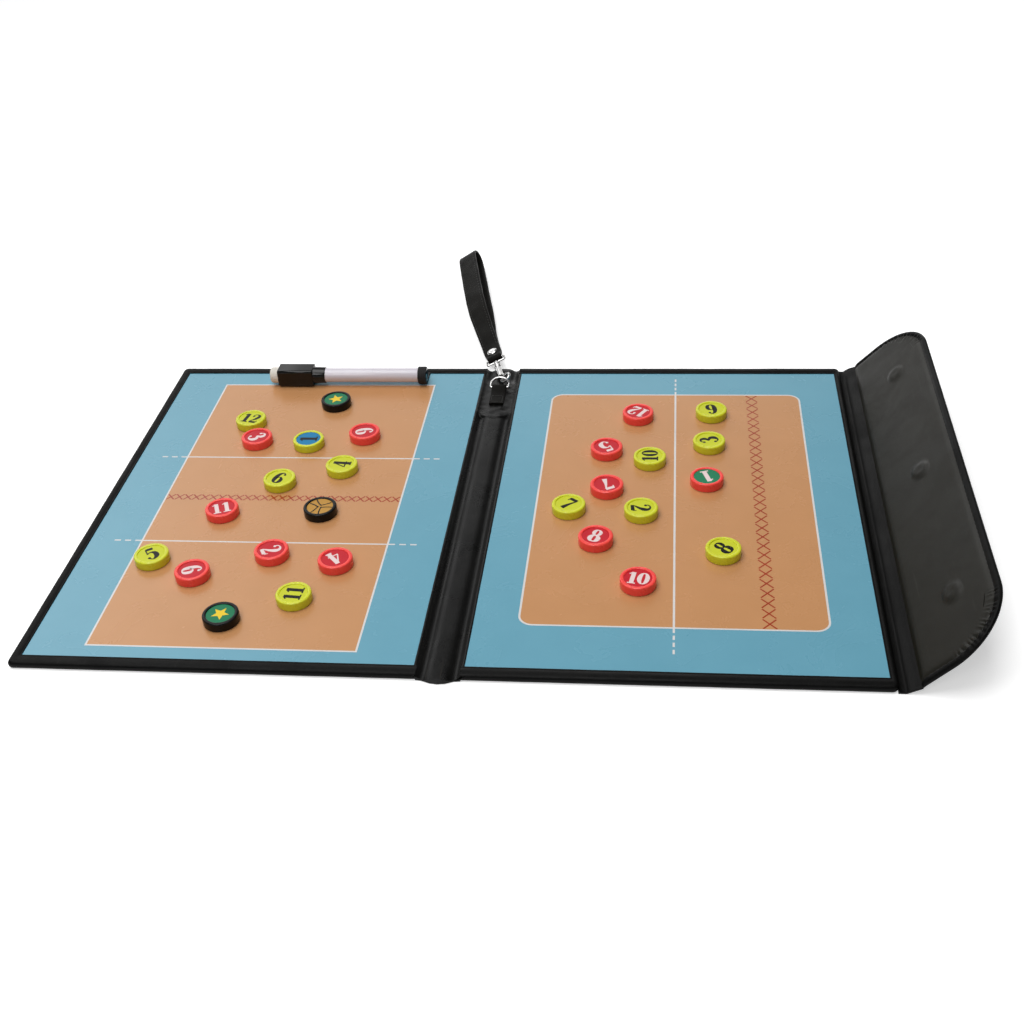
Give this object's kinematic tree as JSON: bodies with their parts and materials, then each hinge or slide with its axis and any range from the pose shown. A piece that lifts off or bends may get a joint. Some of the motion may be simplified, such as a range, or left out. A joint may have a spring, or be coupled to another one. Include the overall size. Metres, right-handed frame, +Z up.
{
  "type": "tactics board",
  "caption": "Folding leather-covered tactics board with two printed courts, sliding magnetic counters, a closing flap, a dry-wipe pen in a loop and a clipped wrist strap.",
  "frame": {"origin": "middle of the spine's flat underside, on the table", "axes": "+X to the right panel and its closing flap, +Y to the far edge where the wrist strap hangs, +Z up"},
  "size_m": [0.508, 0.4823, 0.0446],
  "materials": {
    "black_leather": "soft grained, low sheen",
    "fibre_board": "plain pressed fibre board",
    "plain_steel": "plain sheet",
    "court_print": "gloss laminated print",
    "bright_metal": "bright plated",
    "black_elastic": "woven elastic",
    "black_plastic": "moulded",
    "white_plastic": "moulded",
    "fibre_wick": "pressed fibre",
    "white_felt": "wool felt",
    "yellow_counter": "moulded",
    "red_counter": "moulded",
    "black_counter": "moulded"
  },
  "bodies": {
    "right_panel": {"right_board": "fibre_board", "right_court_sheet": "court_print", "right_cover": "black_leather", "right_steel_sheet": "plain_steel"},
    "spine": {"spine_cover": "black_leather", "spine_stiffener": "fibre_board", "spine_lining": "black_leather", "ring_tab": "black_leather"},
    "left_panel": {"left_board": "fibre_board", "left_court_sheet": "court_print", "left_cover": "black_leather", "left_steel_sheet": "plain_steel", "pen_loop": "black_elastic"},
    "gusset": {"gusset_cover": "black_leather", "gusset_stiffener": "fibre_board", "gusset_lining": "black_leather"},
    "flap": {"flap_cover": "black_leather", "flap_stiffener": "fibre_board", "flap_lining": "black_leather", "flap_magnets": "plain_steel"},
    "ring": {"d_ring": "bright_metal"},
    "clasp": {"clasp_hook": "bright_metal", "clasp_spring": "bright_metal"},
    "bolt": {"clasp_bolt": "bright_metal"},
    "eye": {"swivel_eye": "bright_metal"},
    "strap": {"wrist_strap": "black_leather", "strap_rivet": "bright_metal"},
    "pen": {"pen_barrel": "white_plastic", "pen_nib": "fibre_wick", "ink_core": "fibre_wick", "pen_end_plug": "black_plastic"},
    "cap": {"pen_cap": "black_plastic", "eraser_felt": "white_felt"},
    "black_disc_01_body": {"black_disc_01": "black_counter"},
    "black_disc_02_body": {"black_disc_02": "black_counter"},
    "black_disc_03_body": {"black_disc_03": "black_counter"},
    "red_disc_01_body": {"red_disc_01": "red_counter"},
    "red_disc_02_body": {"red_disc_02": "red_counter"},
    "red_disc_03_body": {"red_disc_03": "red_counter"},
    "red_disc_04_body": {"red_disc_04": "red_counter"},
    "red_disc_05_body": {"red_disc_05": "red_counter"},
    "red_disc_06_body": {"red_disc_06": "red_counter"},
    "red_disc_07_body": {"red_disc_07": "red_counter"},
    "red_disc_08_body": {"red_disc_08": "red_counter"},
    "red_disc_09_body": {"red_disc_09": "red_counter"},
    "red_disc_10_body": {"red_disc_10": "red_counter"},
    "red_disc_11_body": {"red_disc_11": "red_counter"},
    "red_disc_12_body": {"red_disc_12": "red_counter"},
    "yellow_disc_01_body": {"yellow_disc_01": "yellow_counter"},
    "yellow_disc_02_body": {"yellow_disc_02": "yellow_counter"},
    "yellow_disc_03_body": {"yellow_disc_03": "yellow_counter"},
    "yellow_disc_04_body": {"yellow_disc_04": "yellow_counter"},
    "yellow_disc_05_body": {"yellow_disc_05": "yellow_counter"},
    "yellow_disc_06_body": {"yellow_disc_06": "yellow_counter"},
    "yellow_disc_07_body": {"yellow_disc_07": "yellow_counter"},
    "yellow_disc_08_body": {"yellow_disc_08": "yellow_counter"},
    "yellow_disc_09_body": {"yellow_disc_09": "yellow_counter"},
    "yellow_disc_10_body": {"yellow_disc_10": "yellow_counter"},
    "yellow_disc_11_body": {"yellow_disc_11": "yellow_counter"},
    "yellow_disc_12_body": {"yellow_disc_12": "yellow_counter"}
  },
  "joints": [
    {"name": "cover_fold", "type": "hinge", "parent": "spine", "child": "left_panel", "pos_m": [-0.01075, 0, 0.0004], "axis": [0, 1, 0], "range_deg": [0, 90]},
    {"name": "spine_fold", "type": "hinge", "parent": "right_panel", "child": "spine", "pos_m": [0.01075, 0, 0.0004], "axis": [0, 1, 0], "range_deg": [0, 90]},
    {"name": "gusset_fold", "type": "hinge", "parent": "right_panel", "child": "gusset", "pos_m": [0.232, 0, 0.0004], "axis": [0, -1, 0], "range_deg": [-26, 44]},
    {"name": "flap_fold", "type": "hinge", "parent": "gusset", "child": "flap", "pos_m": [0.25169, 0, 0.01685], "axis": [0, -1, 0], "range_deg": [-20, 90]},
    {"name": "ring_swing", "type": "hinge", "parent": "spine", "child": "ring", "pos_m": [0, 0.1294, 0.0047], "axis": [-1, 0, 0], "range_deg": [-45, 0]},
    {"name": "clasp_swing", "type": "hinge", "parent": "ring", "child": "clasp", "pos_m": [0.0045, 0.13562, 0.00696], "axis": [-0.6751, 0.6932, 0.2523], "range_deg": [-40, 0]},
    {"name": "eye_swivel", "type": "hinge", "parent": "clasp", "child": "eye", "pos_m": [-0.0049, 0.1584, 0.0063], "axis": [-0.2756, 0.9613, 0], "continuous": true},
    {"name": "strap_swing", "type": "hinge", "parent": "eye", "child": "strap", "pos_m": [-0.007, 0.16571, 0.0063], "axis": [-0.9033, -0.259, -0.342], "range_deg": [-60, 0]},
    {"name": "bolt_slide", "type": "slide", "parent": "clasp", "child": "bolt", "axis": [-0.2756, 0.9613, 0], "range_m": [0, 0.003], "stiffness_N_per_m": 200, "springref_m": -0.002, "deforming": ["clasp_spring"]},
    {"name": "pen_slide", "type": "slide", "parent": "left_panel", "child": "pen", "axis": [-1, 0, 0], "range_m": [0, 0.034]},
    {"name": "cap_pull", "type": "slide", "parent": "pen", "child": "cap", "axis": [-1, 0, 0], "range_m": [0, 0.028]},
    {"name": "black_disc_01_slide", "type": "slide", "parent": "left_panel", "child": "black_disc_01_body", "axis": [1, 0, 0], "range_m": [0, 0.03]},
    {"name": "black_disc_02_slide", "type": "slide", "parent": "left_panel", "child": "black_disc_02_body", "axis": [1, 0, 0], "range_m": [0, 0.03]},
    {"name": "black_disc_03_slide", "type": "slide", "parent": "left_panel", "child": "black_disc_03_body", "axis": [-1, 0, 0], "range_m": [0, 0.03]},
    {"name": "red_disc_02_slide", "type": "slide", "parent": "left_panel", "child": "red_disc_02_body", "axis": [0.7071, 0.7071, 0], "range_m": [0, 0.03]},
    {"name": "red_disc_03_slide", "type": "slide", "parent": "left_panel", "child": "red_disc_03_body", "axis": [-1, 0, 0], "range_m": [0, 0.03]},
    {"name": "red_disc_04_slide", "type": "slide", "parent": "left_panel", "child": "red_disc_04_body", "axis": [1, 0, 0], "range_m": [0, 0.03]},
    {"name": "red_disc_06_slide", "type": "slide", "parent": "left_panel", "child": "red_disc_06_body", "axis": [1, 0, 0], "range_m": [0, 0.03]},
    {"name": "red_disc_09_slide", "type": "slide", "parent": "left_panel", "child": "red_disc_09_body", "axis": [1, 0, 0], "range_m": [0, 0.03]},
    {"name": "red_disc_11_slide", "type": "slide", "parent": "left_panel", "child": "red_disc_11_body", "axis": [1, 0, 0], "range_m": [0, 0.03]},
    {"name": "yellow_disc_01_slide", "type": "slide", "parent": "left_panel", "child": "yellow_disc_01_body", "axis": [0, 1, 0], "range_m": [0, 0.03]},
    {"name": "yellow_disc_04_slide", "type": "slide", "parent": "left_panel", "child": "yellow_disc_04_body", "axis": [1, 0, 0], "range_m": [0, 0.03]},
    {"name": "yellow_disc_05_slide", "type": "slide", "parent": "left_panel", "child": "yellow_disc_05_body", "axis": [0.7071, 0.7071, 0], "range_m": [0, 0.03]},
    {"name": "yellow_disc_06_slide", "type": "slide", "parent": "left_panel", "child": "yellow_disc_06_body", "axis": [-0.7071, 0.7071, 0], "range_m": [0, 0.03]},
    {"name": "yellow_disc_11_slide", "type": "slide", "parent": "left_panel", "child": "yellow_disc_11_body", "axis": [1, 0, 0], "range_m": [0, 0.03]},
    {"name": "yellow_disc_12_slide", "type": "slide", "parent": "left_panel", "child": "yellow_disc_12_body", "axis": [0.7071, 0.7071, 0], "range_m": [0, 0.03]},
    {"name": "red_disc_01_slide", "type": "slide", "parent": "right_panel", "child": "red_disc_01_body", "axis": [1, 0, 0], "range_m": [0, 0.03]},
    {"name": "red_disc_05_slide", "type": "slide", "parent": "right_panel", "child": "red_disc_05_body", "axis": [0, 1, 0], "range_m": [0, 0.03]},
    {"name": "red_disc_07_slide", "type": "slide", "parent": "right_panel", "child": "red_disc_07_body", "axis": [1, 0, 0], "range_m": [0, 0.03]},
    {"name": "red_disc_08_slide", "type": "slide", "parent": "right_panel", "child": "red_disc_08_body", "axis": [1, 0, 0], "range_m": [0, 0.03]},
    {"name": "red_disc_10_slide", "type": "slide", "parent": "right_panel", "child": "red_disc_10_body", "axis": [1, 0, 0], "range_m": [0, 0.03]},
    {"name": "red_disc_12_slide", "type": "slide", "parent": "right_panel", "child": "red_disc_12_body", "axis": [0.7071, 0.7071, 0], "range_m": [0, 0.03]},
    {"name": "yellow_disc_02_slide", "type": "slide", "parent": "right_panel", "child": "yellow_disc_02_body", "axis": [1, 0, 0], "range_m": [0, 0.03]},
    {"name": "yellow_disc_03_slide", "type": "slide", "parent": "right_panel", "child": "yellow_disc_03_body", "axis": [1, 0, 0], "range_m": [0, 0.03]},
    {"name": "yellow_disc_07_slide", "type": "slide", "parent": "right_panel", "child": "yellow_disc_07_body", "axis": [0, 1, 0], "range_m": [0, 0.03]},
    {"name": "yellow_disc_08_slide", "type": "slide", "parent": "right_panel", "child": "yellow_disc_08_body", "axis": [1, 0, 0], "range_m": [0, 0.03]},
    {"name": "yellow_disc_09_slide", "type": "slide", "parent": "right_panel", "child": "yellow_disc_09_body", "axis": [1, 0, 0], "range_m": [0, 0.03]},
    {"name": "yellow_disc_10_slide", "type": "slide", "parent": "right_panel", "child": "yellow_disc_10_body", "axis": [0, 1, 0], "range_m": [0, 0.03]}
  ],
  "couplings": [
    {"joint": "spine_fold", "follows": "cover_fold", "ratio": 1}
  ]
}
